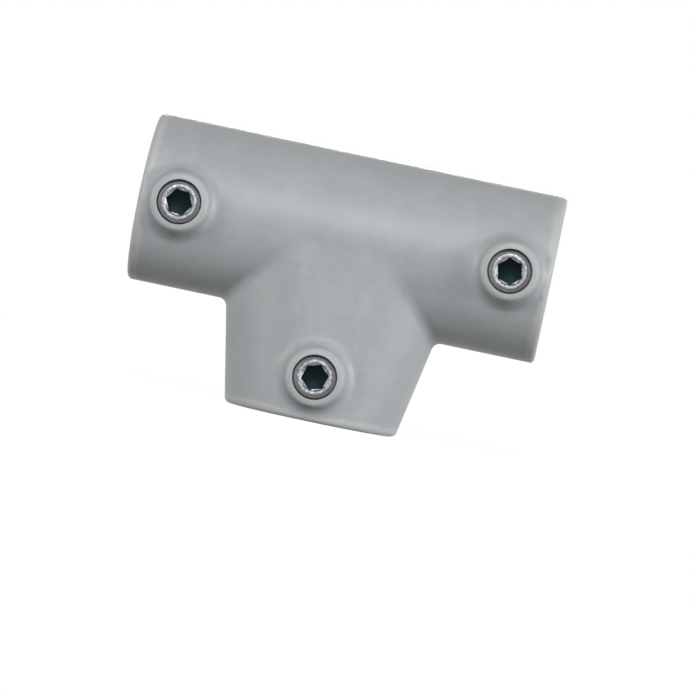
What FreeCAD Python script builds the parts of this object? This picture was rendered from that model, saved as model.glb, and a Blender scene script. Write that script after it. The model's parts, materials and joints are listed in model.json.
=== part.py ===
"""Long tee for tube railings on a slope: one casting with three sockets, and a set screw in each.

Two tubes, or one that runs through, lie in the level run. An upright comes up into the leg, which
leaves room for it to lean to either side of square. The frame has its origin where the run's axis
meets the leg's, +X along the run, +Z up and away from the leg, and the screws face -Y.
Lengths are in millimetres and angles in degrees.
"""
import FreeCAD
import Part

import math
import os

from FreeCAD import Vector

# Tube that the fitting takes, and the room that it has in its sockets
TUBE_DIAMETER = 48.3
TUBE_CLEARANCE = 1.0
LEG_LEAN = 11.0

# Casting
WALL = 3.9
RUN_LENGTH = 140.0
LEG_REACH = 62.6
SWING_CENTRE_BELOW_MOUTH = 2.3
CHEEK_STEP = 0.25
JUNCTION_CHAMFER = 1.2
MOUTH_OUTER_CHAMFER = 0.9
MOUTH_INNER_CHAMFER = 0.6
TUBE_DEPTH_IN_LEG = 38.0
STOP_LIP = 2.5

# Bosses that carry the set screws
RUN_SCREW_SETBACK = 14.0
LEG_SCREW_SETBACK = 15.0
BOSS_HEIGHT = 5.0
BOSS_RIM_DIAMETER = 19.2
BOSS_DRAFT = 15.0
BOSS_RIM_CHAMFER = 0.6
BOSS_FOOT_CHAMFER = 1.6
HOLE_MOUTH_CHAMFER = 0.35

# Set screws: a parallel pipe thread of three eighths of an inch, drawn plain at its core diameter
THREAD_CORE_DIAMETER = 14.95
THREAD_CLEARANCE = 0.06
SCREW_LENGTH = 7.5
SCREW_TIP_OUTSIDE_BORE = 0.1
SCREW_FACE_DIAMETER = 11.6
HEX_ACROSS_FLATS = 7.94
HEX_DEPTH = 4.6
HEX_LEAD_CHAMFER = 0.35
POINT_CHAMFER = 0.5
CUP_DIAMETER = 7.0
CUP_ANGLE = 130.0

# Worked out from the sizes above
BORE_RADIUS = (TUBE_DIAMETER + TUBE_CLEARANCE) / 2
RUN_RADIUS = BORE_RADIUS + WALL
LEG_RADIUS = RUN_RADIUS - CHEEK_STEP
MOUTH_Z = -LEG_REACH
SWING_CENTRE = Vector(0, 0, MOUTH_Z - SWING_CENTRE_BELOW_MOUTH)
BOSS_RIM_DEPTH = RUN_RADIUS + BOSS_HEIGHT
# Spare length at each end of the run, which facing it takes off
FACING = WALL

# How near a point lies to a face or an edge that it is taken to be on
NEAR = 0.001

OUTWARD = Vector(0, -1, 0)
SCREW_PLACES = {
    "left_set_screw": Vector(-(RUN_LENGTH / 2 - RUN_SCREW_SETBACK), 0, 0),
    "right_set_screw": Vector(RUN_LENGTH / 2 - RUN_SCREW_SETBACK, 0, 0),
    "leg_set_screw": Vector(0, 0, MOUTH_Z + LEG_SCREW_SETBACK),
}
# How far each screw happens to be turned, as the corners of its socket show
SCREW_TURNS = {"left_set_screw": 7.0, "right_set_screw": 19.0, "leg_set_screw": -15.0}


def run_cylinder(radius, length):
    """A cylinder about the run's axis, centred on the origin."""
    return Part.makeCylinder(radius, length, Vector(-length / 2, 0, 0), Vector(1, 0, 0))


def leaning_form(radius, bottom, top):
    """The space that a leaning cylinder sweeps about the swing centre, between two heights.

    It is a cylinder at each end of the lean, with flat cheeks between them.
    """
    lean = math.radians(LEG_LEAN)
    long_enough = 3 * (top - SWING_CENTRE.z)
    ends = []
    for side in (-1, 1):
        direction = Vector(side * math.sin(lean), 0, math.cos(lean))
        start = SWING_CENTRE - direction * long_enough
        ends.append(Part.makeCylinder(radius, 2 * long_enough, start, direction))
    half_width = (top - SWING_CENTRE.z) * math.tan(lean)
    front = Vector(0, -radius, 0)
    corners = [
        SWING_CENTRE + front,
        Vector(half_width, -radius, top),
        Vector(-half_width, -radius, top),
        SWING_CENTRE + front,
    ]
    cheeks = Part.Face(Part.makePolygon(corners)).extrude(Vector(0, 2 * radius, 0))
    swept = ends[0].fuse([ends[1], cheeks])
    reach = 4 * RUN_LENGTH
    slab = Part.makeBox(reach, reach, top - bottom, Vector(-reach / 2, -reach / 2, bottom))
    return swept.common(slab).removeSplitter()


def lies_on(edge, test):
    """True where points all along the edge pass the test."""
    first, last = edge.FirstParameter, edge.LastParameter
    return all(test(edge.valueAt(first + (last - first) * step / 6)) for step in range(7))


def edges_where(shape, test):
    """The shape's edges that lie wholly where the test holds."""
    return [edge for edge in shape.Edges if lies_on(edge, test)]


def tee_outside():
    """The casting's outside without its bosses: run and leg, with the corner between them eased.

    The run is longer here than it will be, and is faced to its length after it has its bosses.
    """
    run = run_cylinder(RUN_RADIUS, RUN_LENGTH + 2 * FACING)
    leg = leaning_form(LEG_RADIUS, MOUTH_Z, 0)
    leg_end = edges_where(leg, lambda point: abs(point.z - MOUTH_Z) < NEAR)
    leg = leg.makeChamfer(MOUTH_OUTER_CHAMFER, leg_end)
    tee = run.fuse(leg).removeSplitter()

    def on_junction(point):
        on_run = abs(math.hypot(point.y, point.z) - RUN_RADIUS) < NEAR
        return on_run and abs(point.x) < RUN_LENGTH / 2

    return tee.makeChamfer(JUNCTION_CHAMFER, edges_where(tee, on_junction))


def boss():
    """One boss, standing along -Y, with its rim chamfered and its foot deep enough to be buried."""
    rim_radius = BOSS_RIM_DIAMETER / 2
    buried_depth = BORE_RADIUS - WALL
    foot_radius = rim_radius + (BOSS_RIM_DEPTH - buried_depth) * math.tan(math.radians(BOSS_DRAFT))
    cone = Part.makeCone(
        foot_radius,
        rim_radius,
        BOSS_RIM_DEPTH - buried_depth,
        OUTWARD * buried_depth,
        OUTWARD,
    )
    rim = edges_where(cone, lambda point: abs(point.y + BOSS_RIM_DEPTH) < NEAR)
    return cone.makeChamfer(BOSS_RIM_CHAMFER, rim)


def foot_chamfer(place):
    """The chamfer at the foot of one boss, limited by the wall that it has towards the leg's mouth."""
    draft = (BOSS_RIM_DEPTH - LEG_RADIUS) * math.tan(math.radians(BOSS_DRAFT))
    foot_radius = BOSS_RIM_DIAMETER / 2 + draft
    room = place.z - foot_radius - (MOUTH_Z + MOUTH_OUTER_CHAMFER)
    return min(BOSS_FOOT_CHAMFER, room - NEAR)


def add_bosses(tee):
    """The bosses, each run into the casting with an eased foot."""
    for place in SCREW_PLACES.values():
        raised = boss()
        raised.translate(place)
        tee = tee.fuse(raised).removeSplitter()

        def on_foot(point, place=place):
            from_axis = math.hypot(point.x - place.x, point.z - place.z)
            below_rim = BOSS_RIM_DEPTH + point.y
            draft = below_rim * math.tan(math.radians(BOSS_DRAFT))
            on_cone = abs(from_axis - BOSS_RIM_DIAMETER / 2 - draft) < NEAR
            return on_cone and below_rim > BOSS_HEIGHT / 2

        tee = tee.makeChamfer(foot_chamfer(place), edges_where(tee, on_foot))
    return tee


def face_run_ends(tee):
    """The tee with its run faced to length and its outer corners there chamfered."""
    end = RUN_LENGTH / 2
    outline = [
        Vector(end, 0, 0),
        Vector(end, 0, RUN_RADIUS - MOUTH_OUTER_CHAMFER),
        Vector(end - MOUTH_OUTER_CHAMFER, 0, RUN_RADIUS),
        Vector(end - MOUTH_OUTER_CHAMFER, 0, BOSS_RIM_DEPTH),
        Vector(end + 2 * FACING, 0, BOSS_RIM_DEPTH),
        Vector(end + 2 * FACING, 0, 0),
        Vector(end, 0, 0),
    ]
    right = Part.Face(Part.makePolygon(outline)).revolve(Vector(0, 0, 0), Vector(1, 0, 0), 360)
    left = right.mirror(Vector(0, 0, 0), Vector(1, 0, 0))
    return tee.cut([left, right])


def sockets():
    """The hollow of the casting: the run's bore, the leg's socket and the window between them.

    The socket ends in part of a ball about the swing centre, so the square end of an upright stops
    against it all round, however far it leans. The window leaves a lip of that stop.
    """
    bore = run_cylinder(BORE_RADIUS, 2 * RUN_LENGTH)
    below = MOUTH_Z - LEG_REACH / 4
    stop_depth = TUBE_DEPTH_IN_LEG + SWING_CENTRE_BELOW_MOUTH
    stop = Part.makeSphere(math.hypot(stop_depth, BORE_RADIUS), SWING_CENTRE)
    socket = leaning_form(BORE_RADIUS, below, 0).common(stop)
    window = leaning_form(BORE_RADIUS - STOP_LIP, below, 0)
    return bore.fuse([socket, window])


def screw_hole():
    """A tapped hole at its core diameter, with its mouth broken, along -Y from the axis."""
    radius = THREAD_CORE_DIAMETER / 2
    hole = Part.makeCylinder(radius, 2 * BOSS_RIM_DEPTH, Vector(0, 0, 0), OUTWARD)
    mouth = Part.makeCone(
        radius,
        radius + 2 * HOLE_MOUTH_CHAMFER,
        2 * HOLE_MOUTH_CHAMFER,
        OUTWARD * (BOSS_RIM_DEPTH - HOLE_MOUTH_CHAMFER),
        OUTWARD,
    )
    return hole.fuse(mouth)


def break_mouths(tee):
    """The inner edges of the mouths, chamfered so that a tube enters."""

    def on_bore_edge(point):
        at_end = abs(abs(point.x) - RUN_LENGTH / 2) < NEAR
        return at_end and abs(math.hypot(point.y, point.z) - BORE_RADIUS) < NEAR

    def on_leg_edge(point):
        in_wall = math.hypot(point.x, point.y) - BORE_RADIUS
        return abs(point.z - MOUTH_Z) < NEAR and in_wall < WALL / 2

    edges = edges_where(tee, on_bore_edge) + edges_where(tee, on_leg_edge)
    return tee.makeChamfer(MOUTH_INNER_CHAMFER, edges)


def tee_casting():
    """The whole casting, as one solid."""
    tee = add_bosses(tee_outside())
    tee = face_run_ends(tee)
    tee = tee.cut(sockets())
    tee = break_mouths(tee)
    for place in SCREW_PLACES.values():
        hole = screw_hole()
        hole.translate(place)
        tee = tee.cut(hole)
    return tee


def hexagon(across_flats, depth):
    """A hexagonal prism of a depth, from the XZ plane towards +Y."""
    corner = across_flats / math.sqrt(3)
    points = [
        Vector(corner * math.cos(math.radians(60 * side)), 0, corner * math.sin(math.radians(60 * side)))
        for side in range(7)
    ]
    return Part.Face(Part.makePolygon(points)).extrude(Vector(0, depth, 0))


def set_screw():
    """A set screw with its outer face in the XZ plane and its cup point towards +Y."""
    radius = THREAD_CORE_DIAMETER / 2 - THREAD_CLEARANCE
    face_radius = SCREW_FACE_DIAMETER / 2
    cup_radius = CUP_DIAMETER / 2
    cup_depth = cup_radius / math.tan(math.radians(CUP_ANGLE / 2))
    outline = [
        Vector(0, 0, 0),
        Vector(face_radius, 0, 0),
        Vector(radius, radius - face_radius, 0),
        Vector(radius, SCREW_LENGTH - POINT_CHAMFER, 0),
        Vector(radius - POINT_CHAMFER, SCREW_LENGTH, 0),
        Vector(cup_radius, SCREW_LENGTH, 0),
        Vector(0, SCREW_LENGTH - cup_depth, 0),
        Vector(0, 0, 0),
    ]
    blank = Part.Face(Part.makePolygon(outline)).revolve(Vector(0, 0, 0), Vector(0, 1, 0), 360)
    corner = HEX_ACROSS_FLATS / math.sqrt(3)
    lead = Part.makeCone(
        corner + HEX_LEAD_CHAMFER,
        corner - HEX_LEAD_CHAMFER,
        2 * HEX_LEAD_CHAMFER,
        Vector(0, 0, 0),
        Vector(0, 1, 0),
    )
    return blank.cut([hexagon(HEX_ACROSS_FLATS, HEX_DEPTH), lead])


def placed_screw(name):
    """One set screw where it sits ready to clamp: its point just outside the bore."""
    screw = set_screw()
    screw.rotate(Vector(0, 0, 0), Vector(0, 1, 0), SCREW_TURNS[name])
    face_depth = BORE_RADIUS + SCREW_TIP_OUTSIDE_BORE + SCREW_LENGTH
    screw.translate(SCREW_PLACES[name] + OUTWARD * face_depth)
    return screw


def main():
    """Writes one STEP file for the casting and one for each set screw."""
    os.makedirs("parts", exist_ok=True)
    tee_casting().exportStep("parts/tee_casting.step")
    for name in SCREW_PLACES:
        placed_screw(name).exportStep("parts/" + name + ".step")


main()
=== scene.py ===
"""Looks of a long tee for tube railings on a slope: a galvanised casting and its plated set screws.

The casting is the frame's own solid with the soft edges that the mould and the zinc give it, and with
tapped holes. The set screws are the frame's own with their threads cut. Lengths are in metres.
"""

import json
import logging
import math
from collections.abc import Mapping, Sequence
from dataclasses import dataclass
from enum import Enum

import bmesh
import bpy
from mathutils import Matrix, Vector


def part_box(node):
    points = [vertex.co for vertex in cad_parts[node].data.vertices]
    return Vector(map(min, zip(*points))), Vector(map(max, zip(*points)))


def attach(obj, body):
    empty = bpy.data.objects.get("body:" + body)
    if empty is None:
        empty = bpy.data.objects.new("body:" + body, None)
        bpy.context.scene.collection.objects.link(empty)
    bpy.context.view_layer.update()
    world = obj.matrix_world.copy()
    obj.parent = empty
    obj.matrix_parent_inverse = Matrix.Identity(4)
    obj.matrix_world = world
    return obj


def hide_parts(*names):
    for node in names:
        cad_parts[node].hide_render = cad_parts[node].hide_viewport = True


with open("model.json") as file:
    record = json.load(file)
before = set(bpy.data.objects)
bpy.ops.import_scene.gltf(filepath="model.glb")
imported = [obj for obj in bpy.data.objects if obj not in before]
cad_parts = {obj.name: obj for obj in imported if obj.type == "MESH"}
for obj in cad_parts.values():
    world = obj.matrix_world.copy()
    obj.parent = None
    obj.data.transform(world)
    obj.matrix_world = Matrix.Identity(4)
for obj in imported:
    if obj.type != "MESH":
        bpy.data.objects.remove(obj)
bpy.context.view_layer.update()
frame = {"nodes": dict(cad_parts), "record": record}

log = logging.getLogger("tee_fitting")

MM = 0.001
SKIN_JOIN = 0.001 * MM  # points closer than this are one
LEG_STEP = 0.25 * MM  # how much smaller the leg's outer radius is than the run's
SCREW_AXIS = Vector((0.0, 1.0, 0.0))
WHITE = (1.0, 1.0, 1.0, 1.0)
NOISE_MIDDLE = 0.5
NOISE_ROUGHNESS = 0.55
Colour = tuple[float, float, float]
Span = tuple[float, float]


class Side(Enum):
    """Which way a thread's grooves go from its crests: out into a hole's wall, or in to the axis."""

    HOLE = 1
    SCREW = -1


class Ray(Enum):
    """The kinds of ray that a studio surface answers in its own way, by their socket's name."""

    CAMERA = "Is Camera Ray"
    GLOSSY = "Is Glossy Ray"
    TRANSMISSION = "Is Transmission Ray"


class Number:
    """A shader socket that holds a number, with Python's operators as its Math nodes."""

    def __init__(self, sheet: "NodeSheet", socket: bpy.types.NodeSocket) -> None:
        """Wraps a socket.

        Args:
            sheet: The node sheet that the socket is on.
            socket: The output socket.
        """
        self.sheet = sheet
        self.socket = socket

    def _math(self, operation: str, *values: "Number | float") -> "Number":
        """Adds one Math node.

        Args:
            operation: The node's operation.
            values: Its inputs in order, sockets or plain numbers.

        Returns:
            The node's result.
        """
        inputs = {i: v.socket if isinstance(v, Number) else v for i, v in enumerate(values)}
        node = self.sheet.add("ShaderNodeMath", {"operation": operation}, inputs)
        return Number(self.sheet, node.outputs[0])

    def __add__(self, other: "Number | float") -> "Number":
        """This number plus another."""
        return self._math("ADD", self, other)

    __radd__ = __add__

    def __mul__(self, other: "Number | float") -> "Number":
        """This number times another."""
        return self._math("MULTIPLY", self, other)

    __rmul__ = __mul__

    def __sub__(self, other: "Number | float") -> "Number":
        """This number less another."""
        return self._math("SUBTRACT", self, other)

    def __rsub__(self, other: "Number | float") -> "Number":
        """Another number less this one."""
        return self._math("SUBTRACT", other, self)

    def __pow__(self, power: float) -> "Number":
        """This number to a power, for a power that is a plain number."""
        return self._math("POWER", self, power)

    def sine(self) -> "Number":
        """The sine of this number, in radians."""
        return self._math("SINE", self)

    def least(self, other: "Number | float") -> "Number":
        """The lesser of two numbers."""
        return self._math("MINIMUM", self, other)

    def greatest(self, other: "Number | float") -> "Number":
        """The greater of two numbers."""
        return self._math("MAXIMUM", self, other)

    def ramp(self, start: float, end: float) -> "Number":
        """Goes smoothly from 0 at one value of this number to 1 at another.

        Args:
            start: The value where it is 0. It may be the larger of the two, for a fall.
            end: The value where it is 1.

        Returns:
            A number from 0 to 1.
        """
        node = self.sheet.add(
            "ShaderNodeMapRange",
            {"interpolation_type": "SMOOTHSTEP"},
            {"Value": self.socket, "From Min": start, "From Max": end},
        )
        return Number(self.sheet, node.outputs["Result"])


class NodeSheet:
    """The node tree of one material, cleared, with what the finishes draw on it."""

    def __init__(self, tree: bpy.types.NodeTree) -> None:
        """Clears a tree.

        Args:
            tree: The node tree of a material or a world.
        """
        tree.nodes.clear()
        self.tree = tree

    def add(
        self,
        kind: str,
        settings: Mapping[str, object] | None = None,
        sockets: Mapping[str | int, object] | None = None,
    ) -> bpy.types.Node:
        """Adds a node, sets it up, then fills or links its inputs.

        Args:
            kind: The node's type.
            settings: Properties of the node, set before its sockets are.
            sockets: Its inputs by name or number, each with a value or the output that feeds it.

        Returns:
            The node.
        """
        node = self.tree.nodes.new(kind)
        for key, value in (settings or {}).items():
            setattr(node, key, value)
        for key, value in (sockets or {}).items():
            if isinstance(value, Number):
                value = value.socket
            if isinstance(value, bpy.types.NodeSocket):
                self.tree.links.new(value, node.inputs[key])
            else:
                node.inputs[key].default_value = value
        return node

    def place(self) -> tuple[Number, Number, Number]:
        """The point's x, y and z in the piece's own frame."""
        split = self.add("ShaderNodeSeparateXYZ", None, {0: self.object_point()})
        return tuple(Number(self, out) for out in split.outputs)

    def object_point(self) -> bpy.types.NodeSocket:
        """The point in the piece's own frame, as a vector."""
        return self.add("ShaderNodeTexCoord").outputs["Object"]

    def noise(self, size: float, detail: float = 2.0) -> Number:
        """Soft random spots.

        Args:
            size: How large a spot is.
            detail: How many finer layers lie on it.

        Returns:
            A number about the middle one, mostly from 0.3 to 0.7.
        """
        node = self.add(
            "ShaderNodeTexNoise",
            None,
            {
                "Vector": self.object_point(),
                "Scale": 1.0 / size,
                "Detail": detail,
                "Roughness": NOISE_ROUGHNESS,
            },
        )
        return Number(self, node.outputs["Fac"])

    def attribute(self, name: str) -> Number:
        """A number that the piece's mesh holds for each of its points."""
        return Number(self, self.add("ShaderNodeAttribute", {"attribute_name": name}).outputs["Fac"])

    def mix(self, share: Number, colour: object, other: object) -> bpy.types.NodeSocket:
        """Mixes two colours.

        Args:
            share: How much of the other colour there is, from 0 to 1.
            colour: The first colour, a socket or three numbers.
            other: The other colour, a socket or three numbers.

        Returns:
            The mixed colour.
        """
        first, second = ((*c, 1.0) if isinstance(c, tuple) else c for c in (colour, other))
        settings = {"data_type": "RGBA", "clamp_factor": True}
        node = self.add("ShaderNodeMix", settings, {"Factor": share, 6: first, 7: second})
        return node.outputs[2]

    def surface(self, shader: bpy.types.NodeSocket) -> None:
        """Gives a shader to the material's surface."""
        self.add("ShaderNodeOutputMaterial", None, {"Surface": shader})

    def share_of_rays(self, *rays: Ray) -> Number:
        """Tells the kinds of ray that are named from all others.

        Args:
            rays: The kinds of ray.

        Returns:
            1 for them, and 0 for others.
        """
        path = self.add("ShaderNodeLightPath")
        found = Number(self, path.outputs[rays[0].value])
        for ray in rays[1:]:
            found = found.greatest(Number(self, path.outputs[ray.value]))
        return found


def new_sheet(name: str) -> tuple[bpy.types.Material, NodeSheet]:
    """Starts a material.

    Args:
        name: The material's name.

    Returns:
        The material and its cleared node sheet.
    """
    material = bpy.data.materials.new(name)
    material.use_nodes = True
    return material, NodeSheet(material.node_tree)


def screw_distance(sheet: NodeSheet, screws: Sequence["ScrewPlace"]) -> Number:
    """How far a point is from the nearest screw's axis.

    Args:
        sheet: The node sheet to work on.
        screws: Where the screws are.

    Returns:
        The distance.
    """
    x, _, z = sheet.place()
    nearest = None
    for screw in screws:
        away = ((x - screw.centre.x) ** 2 + (z - screw.centre.z) ** 2) ** 0.5
        nearest = away if nearest is None else nearest.least(away)
    return nearest


@dataclass(frozen=True)
class ScrewPlace:
    """Where one set screw is at rest, and where its face and its point lie along +Y."""

    node: str
    body: str
    centre: Vector
    face: float
    point: float

    @classmethod
    def of(cls, node: str, body: str) -> "ScrewPlace":
        """Reads the place from the frame.

        Args:
            node: The screw's CAD node.
            body: The body that it rides on.

        Returns:
            The place.
        """
        low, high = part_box(node)
        return cls(node, body, (low + high) / 2, low.y, high.y)


@dataclass(frozen=True)
class GalvanisedIron:
    """Malleable iron after a bath of zinc: matt light grey, faintly mottled, with rubbed zinc and
    painted highlight on crests and painted shade in the tapped holes.

    A span holds the value at which an effect is nought and the one at which it is full. Radii are from
    the nearest screw's axis, and depths from the bosses' rim.
    """

    screws: tuple[ScrewPlace, ...]
    rim: float
    colour: Colour = (0.435, 0.457, 0.467)
    # lighter colour on crests: rubbed zinc, and partly a painted highlight where edges catch the light
    rub_and_highlight_colour: Colour = (0.66, 0.665, 0.665)
    dull: Colour = (0.325, 0.355, 0.365)
    # painted shade: darkens the tapped holes where the recess lies in shadow
    painted_hole_shade: Colour = (0.16, 0.16, 0.155)
    broad_size: float = 14 * MM
    spot_size: float = 3.2 * MM
    fine_size: float = 0.55 * MM
    noise_layers: float = 3.0
    broad_share: float = 0.55
    mottled: Span = (0.62, 0.36)
    mottle_share: float = 0.35
    boss_radii: Span = (12 * MM, 16 * MM)
    rub_and_highlight_span: Span = (0.3, 1.0)
    rub_and_highlight_break: float = 0.6
    rub_and_highlight_on_boss: float = 0.2
    rub_and_highlight_off_boss: float = 0.45
    hole_radii: Span = (8.6 * MM, 8.0 * MM)
    hole_depths: Span = (0.9 * MM, 2.6 * MM)
    bore_depths: Span = (12 * MM, 9 * MM)
    painted_hole_shade_share: float = 0.85
    roughness: float = 0.45
    roughness_change: float = 0.3
    shine: float = 0.45
    grain: float = 0.035 * MM
    fine_height: float = 0.45
    spot_height: float = 0.9
    parting_height: float = 0.5
    parting_width: float = 0.5 * MM

    def material(self) -> bpy.types.Material:
        """Builds the finish.

        Returns:
            The material.
        """
        made, sheet = new_sheet("galvanised_iron")
        broad = sheet.noise(self.broad_size, self.noise_layers)
        spots = sheet.noise(self.spot_size, self.noise_layers)
        mottle = (broad * self.broad_share + spots * (1.0 - self.broad_share)).ramp(*self.mottled)
        colour = sheet.mix(mottle * self.mottle_share, self.colour, self.dull)
        # crests lightened: rubbed zinc and painted highlight
        colour = sheet.mix(self.rub_and_highlight_share(sheet, spots), colour, self.rub_and_highlight_colour)
        # painted shade in the tapped holes
        colour = sheet.mix(self.painted_shade_in_holes(sheet), colour, self.painted_hole_shade)
        shader = sheet.add(
            "ShaderNodeBsdfPrincipled",
            None,
            {
                "Base Color": colour,
                "Specular IOR Level": self.shine,
                "Roughness": self.roughness + (spots - NOISE_MIDDLE) * self.roughness_change,
                "Normal": self.relief(sheet, spots),
            },
        )
        sheet.surface(shader.outputs[0])
        return made

    def rub_and_highlight_share(self, sheet: NodeSheet, spots: Number) -> Number:
        """How far the crests are lightened, partly by rubbed zinc and partly by painted highlight, and
        less so on the bosses.

        Args:
            sheet: The node sheet to work on.
            spots: The spots that break the rubbing and the painted highlight up.

        Returns:
            A share from 0 to 1.
        """
        off_boss = screw_distance(sheet, self.screws).ramp(*self.boss_radii)
        most = off_boss * (self.rub_and_highlight_off_boss - self.rub_and_highlight_on_boss) + self.rub_and_highlight_on_boss
        uneven = sheet.attribute("crest") + (spots - NOISE_MIDDLE) * self.rub_and_highlight_break
        return uneven.ramp(*self.rub_and_highlight_span) * most

    def painted_shade_in_holes(self, sheet: NodeSheet) -> Number:
        """How much painted shade darkens the tapped holes, from a little below the rim to a little above
        the bore.

        Args:
            sheet: The node sheet to work on.

        Returns:
            A share from 0 to 1.
        """
        _, y, _ = sheet.place()
        depth = y - self.rim
        in_hole = screw_distance(sheet, self.screws).ramp(*self.hole_radii)
        return in_hole * depth.ramp(*self.hole_depths) * depth.ramp(*self.bore_depths) * self.painted_hole_shade_share

    def relief(self, sheet: NodeSheet, spots: Number) -> bpy.types.NodeSocket:
        """The grain of the zinc, and the faint line where the mould parted at mid depth.

        Args:
            sheet: The node sheet to work on.
            spots: The broader unevenness of the zinc.

        Returns:
            The bumped normal.
        """
        _, y, _ = sheet.place()
        fine = sheet.noise(self.fine_size)
        parting = (y * y).ramp(self.parting_width**2, 0.0)
        height = fine * self.fine_height + spots * self.spot_height + parting * self.parting_height
        bump = sheet.add(
            "ShaderNodeBump", None, {"Strength": 1.0, "Distance": self.grain, "Height": height}
        )
        return bump.outputs[0]


@dataclass(frozen=True)
class PlatedSteel:
    """Steel with a bright zinc plating, with painted shade that makes the socket near-black and darkens
    the thread.

    A span holds the value at which an effect is nought and the one at which it is full. Radii are from
    the screw's axis, and depths from its face.
    """

    screws: tuple[ScrewPlace, ...]
    colour: Colour = (0.5, 0.515, 0.53)
    # painted shade: near-black where the hex socket lies in shadow
    socket: Colour = (0.006, 0.012, 0.014)
    dull: Colour = (0.22, 0.228, 0.236)
    # painted light: the chamfer below the face is lightened to lift its shade
    edge: Colour = (0.54, 0.55, 0.56)
    # painted shade: darker deeper into the thread
    painted_thread_shade: Colour = (0.27, 0.28, 0.29)
    spot_size: float = 0.9 * MM
    noise_layers: float = 3.0
    dulled: Span = (0.32, 0.54)
    socket_radii: Span = (5.05 * MM, 4.85 * MM)
    lead_depths: Span = (0.72 * MM, 0.84 * MM)
    face_radii: Span = (5.8 * MM, 6.4 * MM)
    chamfer_depths: Span = (1.0 * MM, 1.5 * MM)
    roughness: float = 0.35
    spot_roughness: float = 0.15
    edge_roughness: float = 0.35
    edge_metal_loss: float = 0.35
    tool_mark: float = 0.28 * MM
    tool_height: float = 0.3
    spot_height: float = 0.7
    relief: float = 0.6
    grain: float = 0.02 * MM

    def material(self) -> bpy.types.Material:
        """Builds the finish.

        Returns:
            The material.
        """
        made, sheet = new_sheet("plated_steel")
        _, y, _ = sheet.place()
        away = screw_distance(sheet, self.screws)
        depth = y - max(screw.face for screw in self.screws)
        spots = sheet.noise(self.spot_size, self.noise_layers)
        # where the painted shade of the hex socket lies
        painted_socket_shade = away.ramp(*self.socket_radii) * depth.ramp(*self.lead_depths)
        outside = away.ramp(*self.face_radii)
        colour = sheet.mix(spots.ramp(*self.dulled), self.colour, self.dull)
        # painted light on the chamfer near the face, painted shade deeper into the thread
        outer = sheet.mix(depth.ramp(*self.chamfer_depths), self.edge, self.painted_thread_shade)
        colour = sheet.mix(outside, colour, outer)
        colour = sheet.mix(painted_socket_shade, colour, self.socket)
        turned = (away * (2 * math.pi / self.tool_mark)).sine()
        height = turned * self.tool_height + spots * self.spot_height
        bump = sheet.add(
            "ShaderNodeBump", None, {"Strength": self.relief, "Distance": self.grain, "Height": height}
        )
        roughness = spots * self.spot_roughness + outside * self.edge_roughness + self.roughness
        shader = sheet.add(
            "ShaderNodeBsdfPrincipled",
            None,
            {
                "Base Color": colour,
                "Metallic": 1.0 - outside * self.edge_metal_loss,
                "Roughness": roughness,
                "Normal": bump.outputs[0],
            },
        )
        sheet.surface(shader.outputs[0])
        return made


def link(name: str, mesh: bpy.types.Mesh) -> bpy.types.Object:
    """Puts a mesh into the scene as an object at the origin.

    Args:
        name: The object's name.
        mesh: Its mesh, already in its place.

    Returns:
        The object.
    """
    made = bpy.data.objects.new(name, mesh)
    bpy.context.scene.collection.objects.link(made)
    return made


def from_bmesh(name: str, form: bmesh.types.BMesh) -> bpy.types.Object:
    """Turns a bmesh into an object and frees it.

    Args:
        name: The object's name.
        form: The bmesh.

    Returns:
        The object.
    """
    mesh = bpy.data.meshes.new(name)
    form.to_mesh(mesh)
    form.free()
    return link(name, mesh)


def merged_copy(node: str, name: str) -> bpy.types.Object:
    """Copies a CAD node with its loose triangles joined into one skin.

    Args:
        node: The CAD node.
        name: The new piece's name.

    Returns:
        The new piece.
    """
    form = bmesh.new()
    form.from_mesh(frame["nodes"][node].data)
    bmesh.ops.remove_doubles(form, verts=form.verts, dist=SKIN_JOIN)
    piece = from_bmesh(name, form)
    for layer in ("custom_normal", "UVMap"):
        held = piece.data.attributes.get(layer)
        if held is not None:
            piece.data.attributes.remove(held)
    return piece


def settle(piece: bpy.types.Object) -> None:
    """Makes a piece's modifiers part of its mesh.

    Args:
        piece: The piece.
    """
    graph = bpy.context.evaluated_depsgraph_get()
    mesh = bpy.data.meshes.new_from_object(piece.evaluated_get(graph), depsgraph=graph)
    piece.modifiers.clear()
    piece.data = mesh


def cut(piece: bpy.types.Object, tool: bpy.types.Object) -> None:
    """Takes a closed tool away from a closed piece, and the tool from the scene.

    Args:
        piece: What is cut.
        tool: What cuts it.
    """
    step = piece.modifiers.new("cut", "BOOLEAN")
    step.operation = "DIFFERENCE"
    step.solver = "MANIFOLD"
    step.object = tool
    settle(piece)
    bpy.data.objects.remove(tool)


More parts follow.
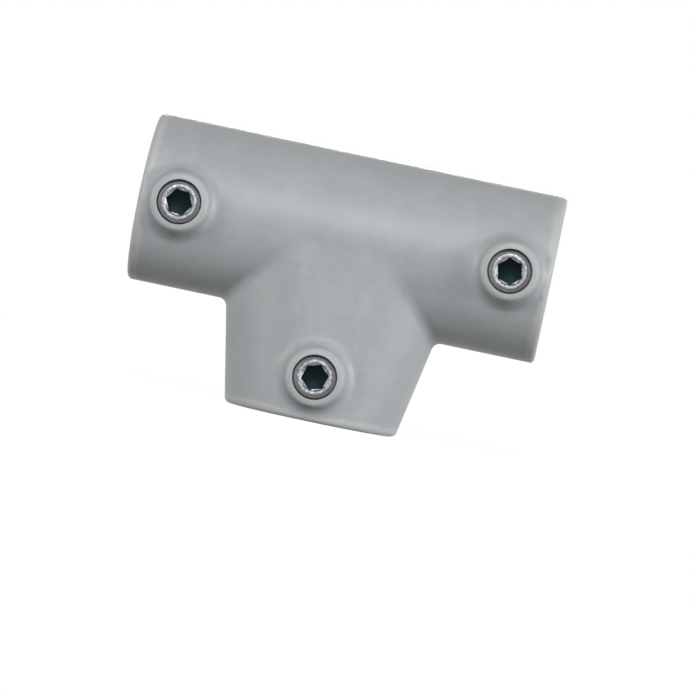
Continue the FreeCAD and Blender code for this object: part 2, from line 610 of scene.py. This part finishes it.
@dataclass(frozen=True)
class Thread:
    """A parallel pipe thread of three eighths of an inch, as a helical groove of V section.

    The groove's width at its mouth and at its root are shares of the pitch. Its tool stands a little
    proud of the crests, and has a number of steps to each turn.
    """

    pitch: float = 1.337 * MM
    depth: float = 0.82 * MM
    mouth: float = 0.86
    root: float = 0.16
    proud: float = 0.12 * MM
    steps: int = 56

    def add_to(
        self,
        form: bmesh.types.BMesh,
        centre: Vector,
        span: Span,
        crest: float,
        side: Side,
    ) -> None:
        """Adds the closed tool that cuts the groove: its section, wound round the axis and capped.

        Args:
            form: The bmesh that takes the tool.
            centre: A point on the axis.
            span: Where along +Y the groove starts and ends.
            crest: The radius that the groove is cut from.
            side: Whether it is cut into a hole or into a screw.
        """
        start, end = span
        turns = (end - start) / self.pitch
        slope = (self.mouth - self.root) / self.depth
        widths = (self.mouth + slope * self.proud, self.root)
        radii = (crest - side.value * self.proud, crest + side.value * self.depth)
        section = [
            form.verts.new((centre.x + radius, start + sign * self.pitch * width / 2, centre.z))
            for radius, width, sign in (
                (radii[0], widths[0], -1),
                (radii[1], widths[1], -1),
                (radii[1], widths[1], 1),
                (radii[0], widths[0], 1),
            )
        ]
        loop = [form.edges.new((section[i - 1], section[i])) for i in range(len(section))]
        count = math.ceil(turns * self.steps)
        wound = bmesh.ops.spin(
            form,
            geom=section + loop,
            cent=centre,
            axis=SCREW_AXIS,
            dvec=SCREW_AXIS * (self.pitch * turns / count),
            angle=2 * math.pi * turns,
            steps=count,
            use_merge=False,
        )
        last = [part for part in wound["geom_last"] if isinstance(part, bmesh.types.BMEdge)]
        bmesh.ops.edgeloop_fill(form, edges=loop)
        bmesh.ops.edgeloop_fill(form, edges=last)


@dataclass(frozen=True)
class RoundFace:
    """A round face of the casting: a cylinder's axis and radius, to which its flat facets are trued.

    A point that is surely on the face is moved onto it, and one that is hardly on it stays.
    """

    point: Vector
    direction: Vector
    radius: float
    surely: float = 0.05 * MM
    hardly: float = 0.12 * MM

    def pull(self, place: Vector) -> Vector:
        """How far a point is off the face, as the move that takes it there.

        Args:
            place: The point.

        Returns:
            The move.
        """
        across = place - self.point
        across -= self.direction * across.dot(self.direction)
        return across.normalized() * (self.radius - across.length)

    def share(self, move: Vector) -> float:
        """How much of a move is made: all of a small one, and none of one to another face."""
        return min(1.0, max(0.0, (self.hardly - move.length) / (self.hardly - self.surely)))


def round_faces() -> list[RoundFace]:
    """The casting's sockets, as its mounts give them, and its outer skin around each.

    Returns:
        Their cylinders.
    """
    run_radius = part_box("tee_casting")[1].z
    faces = []
    for mount in frame["record"]["mounts"]:
        point, direction = Vector(mount["pos_m"]), Vector(mount["axis"]).normalized()
        along_run = abs(direction.x) > abs(direction.z)
        skin = run_radius if along_run else run_radius - LEG_STEP
        faces.append(RoundFace(point, direction, mount["dims"]["r_mm"] * MM))
        faces.append(RoundFace(point, direction, skin))
    return faces


@dataclass
class TeeCasting:
    """The casting: soft edges all over, and a tapped hole in each boss.

    The tools that plug and cut the holes reach a little past the rim and past each screw's point.
    """

    screws: tuple[ScrewPlace, ...]
    thread: Thread
    finish: GalvanisedIron
    node: str = "tee_casting"
    body: str = "casting"
    slot: str = "galvanised_iron"
    grid: float = 0.92 * MM
    soft_steps: int = 2
    soft_share: float = 0.5
    plug_radius: float = 7.95 * MM
    plug_past_point: float = 0.4 * MM
    hole_radius: float = 7.53 * MM
    hole_past_rim: float = 2 * MM
    hole_past_point: float = 5 * MM
    hole_sides: int = 96
    thread_starts: float = 0.75 * MM
    thread_past_point: float = 4 * MM
    crest_steps: int = 14
    crest_height: float = 0.12 * MM
    crease: float = math.radians(38)

    def build(self) -> bpy.types.Object:
        """Builds, cuts and dresses the casting.

        Returns:
            The piece.
        """
        piece = merged_copy(self.node, "galvanised_casting")
        self.soften(piece)
        cut(piece, self.hole_tool())
        cut(piece, self.thread_tool())
        self.mark_crests(piece)
        piece.data.materials.clear()
        piece.data.materials.append(self.finish.material())
        piece.data.shade_smooth()
        piece.data.set_sharp_from_angle(angle=self.crease)
        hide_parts(self.node)
        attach(piece, self.body)
        return piece

    def plug_holes(self, piece: bpy.types.Object) -> None:
        """Fills the screw holes, so that each boss is rounded as it was cast, before it was tapped.

        Args:
            piece: The casting.
        """
        form = bmesh.new()
        form.from_mesh(piece.data)
        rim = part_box(self.node)[0].y
        for screw in self.screws:
            self.add_rod(form, screw, rim, screw.point + self.plug_past_point, self.plug_radius)
        form.to_mesh(piece.data)
        form.free()

    def add_rod(
        self, form: bmesh.types.BMesh, screw: ScrewPlace, start: float, end: float, radius: float
    ) -> None:
        """Adds a round rod on a screw's axis.

        Args:
            form: The bmesh that takes the rod.
            screw: The screw.
            start: Where the rod starts along +Y.
            end: Where it ends.
            radius: Its radius.
        """
        middle = Vector((screw.centre.x, (start + end) / 2, screw.centre.z))
        bmesh.ops.create_cone(
            form,
            cap_ends=True,
            segments=self.hole_sides,
            radius1=radius,
            radius2=radius,
            depth=end - start,
            matrix=Matrix.Translation(middle) @ Matrix.Rotation(math.pi / 2, 4, "X"),
        )

    def true_up(self, piece: bpy.types.Object) -> None:
        """Moves the points of the big round faces off their flat facets and onto true cylinders.

        Args:
            piece: The casting.
        """
        faces = round_faces()
        form = bmesh.new()
        form.from_mesh(piece.data)
        for vert in form.verts:
            pulls = ((face.pull(vert.co), face) for face in faces)
            move, face = min(pulls, key=lambda pair: pair[0].length)
            vert.co += move * face.share(move)
        form.to_mesh(piece.data)
        form.free()

    def soften(self, piece: bpy.types.Object) -> None:
        """Rounds every edge a little, inside corners too, on an even grid of faces.

        Args:
            piece: The casting.
        """
        self.plug_holes(piece)
        grid = piece.modifiers.new("grid", "REMESH")
        grid.mode = "VOXEL"
        grid.voxel_size = self.grid
        settle(piece)
        self.true_up(piece)
        soft = piece.modifiers.new("soft", "SMOOTH")
        soft.factor = self.soft_share
        soft.iterations = self.soft_steps
        settle(piece)

    def hole_tool(self) -> bpy.types.Object:
        """Makes the three round tools that true the holes up.

        Returns:
            One piece with a rod on each screw's axis, from outside the boss to inside its bore.
        """
        form = bmesh.new()
        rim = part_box(self.node)[0].y
        for screw in self.screws:
            end = screw.point + self.hole_past_point
            self.add_rod(form, screw, rim - self.hole_past_rim, end, self.hole_radius)
        bmesh.ops.recalc_face_normals(form, faces=form.faces)
        return from_bmesh("hole_tool", form)

    def thread_tool(self) -> bpy.types.Object:
        """Makes the three helical tools that tap the holes.

        Returns:
            One piece with a winding on each screw's axis.
        """
        form = bmesh.new()
        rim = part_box(self.node)[0].y
        for screw in self.screws:
            span = (rim + self.thread_starts, screw.point + self.thread_past_point)
            self.thread.add_to(form, screw.centre, span, self.hole_radius, Side.HOLE)
        bmesh.ops.recalc_face_normals(form, faces=form.faces)
        return from_bmesh("thread_tool", form)

    def mark_crests(self, piece: bpy.types.Object) -> None:
        """Holds in each point how much it stands out from the surface around it, from 0 to 1.

        Args:
            piece: The casting.
        """
        form = bmesh.new()
        form.from_mesh(piece.data)
        before = [(vert.co.copy(), vert.normal.copy()) for vert in form.verts]
        for _ in range(self.crest_steps):
            bmesh.ops.smooth_vert(
                form,
                verts=form.verts,
                factor=self.soft_share,
                use_axis_x=True,
                use_axis_y=True,
                use_axis_z=True,
            )
        heights = [
            (place - vert.co).dot(normal) / self.crest_height
            for vert, (place, normal) in zip(form.verts, before)
        ]
        form.free()
        layer = piece.data.attributes.new("crest", "FLOAT", "POINT")
        layer.data.foreach_set("value", [min(1.0, max(0.0, height)) for height in heights])


@dataclass
class SetScrew:
    """One set screw: the frame's own, with its edges eased and its thread cut."""

    place: ScrewPlace
    thread: Thread
    finish: bpy.types.Material
    slot: str = "plated_steel"
    crest_radius: float = 7.415 * MM
    flat_angle: float = math.radians(0.5)
    edge: float = 0.07 * MM
    edge_steps: int = 2
    edge_angle: float = math.radians(25)
    crease: float = math.radians(35)

    def build(self) -> bpy.types.Object:
        """Builds and dresses the screw.

        Returns:
            The piece.
        """
        piece = merged_copy(self.place.node, "threaded_" + self.place.node)
        form = bmesh.new()
        form.from_mesh(piece.data)
        bmesh.ops.dissolve_limit(form, angle_limit=self.flat_angle, verts=form.verts, edges=form.edges)
        form.to_mesh(piece.data)
        form.free()
        cut(piece, self.thread_tool())
        ease = piece.modifiers.new("ease", "BEVEL")
        ease.width = self.edge
        ease.segments = self.edge_steps
        ease.limit_method = "ANGLE"
        ease.angle_limit = self.edge_angle
        ease.harden_normals = False
        settle(piece)
        piece.data.materials.clear()
        piece.data.materials.append(self.finish)
        piece.data.shade_smooth()
        piece.data.set_sharp_from_angle(angle=self.crease)
        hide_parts(self.place.node)
        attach(piece, self.place.body)
        return piece

    def thread_tool(self) -> bpy.types.Object:
        """Makes the helical tool that cuts the screw's thread.

        Returns:
            The tool, from past the screw's face to past its point.
        """
        form = bmesh.new()
        span = (self.place.face - self.thread.pitch, self.place.point + self.thread.pitch)
        self.thread.add_to(form, self.place.centre, span, self.crest_radius, Side.SCREW)
        bmesh.ops.recalc_face_normals(form, faces=form.faces)
        return from_bmesh("screw_thread_tool", form)


@dataclass(frozen=True)
class Lamp:
    """One soft lamp, turned towards the object from a bearing that is 0 in front and 90 on the right.

    Its level is how bright a white card would look that faced it, where 1 is white.
    """

    name: str
    bearing: float
    height: float
    level: float
    size: float = 0.6
    distance: float = 1.4

    def build(self, target: Vector) -> None:
        """Hangs the lamp.

        Args:
            target: The point that it faces.
        """
        turn, rise = math.radians(self.bearing), math.radians(self.height)
        towards = Vector(
            (math.sin(turn) * math.cos(rise), -math.cos(turn) * math.cos(rise), math.sin(rise))
        )
        light = bpy.data.lights.new(self.name, "AREA")
        light.shape = "DISK"
        light.size = self.size
        light.energy = self.level * (math.pi * self.distance) ** 2
        lamp = bpy.data.objects.new(self.name, light)
        lamp.location = target + towards * self.distance
        lamp.rotation_euler = (-towards).to_track_quat("-Z", "Y").to_euler()
        bpy.context.scene.collection.objects.link(lamp)


@dataclass
class Studio:
    """The pale floor, the white surroundings and the soft lamps."""

    floor_radius: float = 3.0
    floor_sides: int = 96
    floor_gap: float = 0.02 * MM
    floor_grey: float = 0.12
    floor_glow: float = 0.95
    fade_from: float = 0.16
    fade_to: float = 0.55
    sky: float = 0.01
    target: Colour = (0.0, 0.0, -10 * MM)
    lamps: tuple[Lamp, ...] = (
        Lamp("key_lamp", bearing=0.0, height=26.0, level=0.51),
        Lamp("right_lamp", bearing=72.0, height=6.0, level=0.69),
        Lamp("left_lamp", bearing=-57.0, height=6.0, level=0.39),
        Lamp("back_lamp", bearing=180.0, height=8.0, level=0.75),
    )

    def build(self) -> None:
        """Sets up the floor, the surroundings and the lamps."""
        self.floor()
        self.surroundings()
        for lamp in self.lamps:
            lamp.build(Vector(self.target))
        bpy.context.scene.view_settings.view_transform = "Standard"

    def floor(self) -> None:
        """A round floor under the leg's mouth: white to the camera, with the object's shadow on it."""
        form = bmesh.new()
        level = Matrix.Translation((0.0, 0.0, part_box("tee_casting")[0].z - self.floor_gap))
        bmesh.ops.create_circle(
            form, cap_ends=True, segments=self.floor_sides, radius=self.floor_radius, matrix=level
        )
        floor = from_bmesh("floor", form)
        made, sheet = new_sheet("pale_floor")
        matt = sheet.add("ShaderNodeBsdfDiffuse", None, {"Color": (*(self.floor_grey,) * 3, 1.0)})
        seen = sheet.share_of_rays(Ray.CAMERA, Ray.GLOSSY, Ray.TRANSMISSION)
        glow = sheet.add("ShaderNodeEmission", None, {"Strength": seen * self.floor_glow})
        lit = sheet.add("ShaderNodeAddShader", None, {0: matt.outputs[0], 1: glow.outputs[0]})
        white = sheet.add("ShaderNodeEmission", None, {"Strength": seen})
        x, y, _ = sheet.place()
        far = ((x**2 + y**2) ** 0.5).ramp(self.fade_from, self.fade_to)
        pale = sheet.add(
            "ShaderNodeMixShader", None, {0: far, 1: lit.outputs[0], 2: white.outputs[0]}
        )
        clear = sheet.add("ShaderNodeBsdfTransparent")
        under = sheet.add("ShaderNodeNewGeometry").outputs["Backfacing"]
        both = sheet.add(
            "ShaderNodeMixShader", None, {0: under, 1: pale.outputs[0], 2: clear.outputs[0]}
        )
        sheet.surface(both.outputs[0])
        floor.data.materials.append(made)

    def surroundings(self) -> None:
        """Plain light from all round, which the camera and reflections see as white."""
        world = bpy.data.worlds.new("surroundings")
        world.use_nodes = True
        sheet = NodeSheet(world.node_tree)
        seen = sheet.share_of_rays(Ray.CAMERA, Ray.GLOSSY, Ray.TRANSMISSION)
        strength = self.sky + seen * (1.0 - self.sky)
        sky = sheet.add("ShaderNodeBackground", None, {"Color": WHITE, "Strength": strength})
        sheet.add("ShaderNodeOutputWorld", None, {"Surface": sky.outputs[0]})
        bpy.context.scene.world = world


@dataclass(frozen=True)
class Viewpoint:
    """The photograph's viewpoint, as angles about a point on the fitting."""

    aim: Colour = (6.52 * MM, 0.0, -35.54 * MM)
    distance: float = 1.8
    turn: float = math.radians(1.97)
    rise: float = math.radians(0.81)
    roll: float = math.radians(11.88)
    frame_width: float = 232.65 * MM
    sensor: float = 36.0
    clip: Span = (0.01, 10.0)

    def build(self) -> bpy.types.Object:
        """Sets up the camera.

        Returns:
            The camera.
        """
        back = Vector(
            (
                math.sin(self.turn) * math.cos(self.rise),
                -math.cos(self.turn) * math.cos(self.rise),
                math.sin(self.rise),
            )
        )
        level = Vector((math.cos(self.turn), math.sin(self.turn), 0.0))
        upright = back.cross(level)
        right = math.cos(self.roll) * level + math.sin(self.roll) * upright
        up = math.cos(self.roll) * upright - math.sin(self.roll) * level
        data = bpy.data.cameras.new("viewpoint")
        data.sensor_width = self.sensor
        data.lens = self.sensor * self.distance / self.frame_width
        data.clip_start = self.distance * self.clip[0]
        data.clip_end = self.distance * self.clip[1]
        camera = bpy.data.objects.new("viewpoint", data)
        axes = Matrix((right, up, back)).transposed().to_4x4()
        camera.matrix_world = Matrix.Translation(Vector(self.aim) + back * self.distance) @ axes
        bpy.context.scene.collection.objects.link(camera)
        bpy.context.scene.camera = camera
        return camera


def report(piece: bpy.types.Object) -> None:
    """Logs one finished piece with its count of triangles.

    Args:
        piece: The piece.
    """
    piece.data.calc_loop_triangles()
    log.info("%s: %d triangles", piece.name, len(piece.data.loop_triangles))


def main() -> None:
    """Builds the viewpoint, the studio, the casting and the screws."""
    logging.basicConfig(level=logging.INFO, format="%(name)s: %(message)s")
    Viewpoint().build()
    Studio().build()
    screws = (
        ScrewPlace.of("left_set_screw", "left_screw"),
        ScrewPlace.of("right_set_screw", "right_screw"),
        ScrewPlace.of("leg_set_screw", "leg_screw"),
    )
    thread = Thread()
    iron = GalvanisedIron(screws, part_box("tee_casting")[0].y)
    report(TeeCasting(screws, thread, iron).build())
    steel = PlatedSteel(screws).material()
    for place in screws:
        report(SetScrew(place, thread, steel).build())


if __name__ == "__main__":
    main()
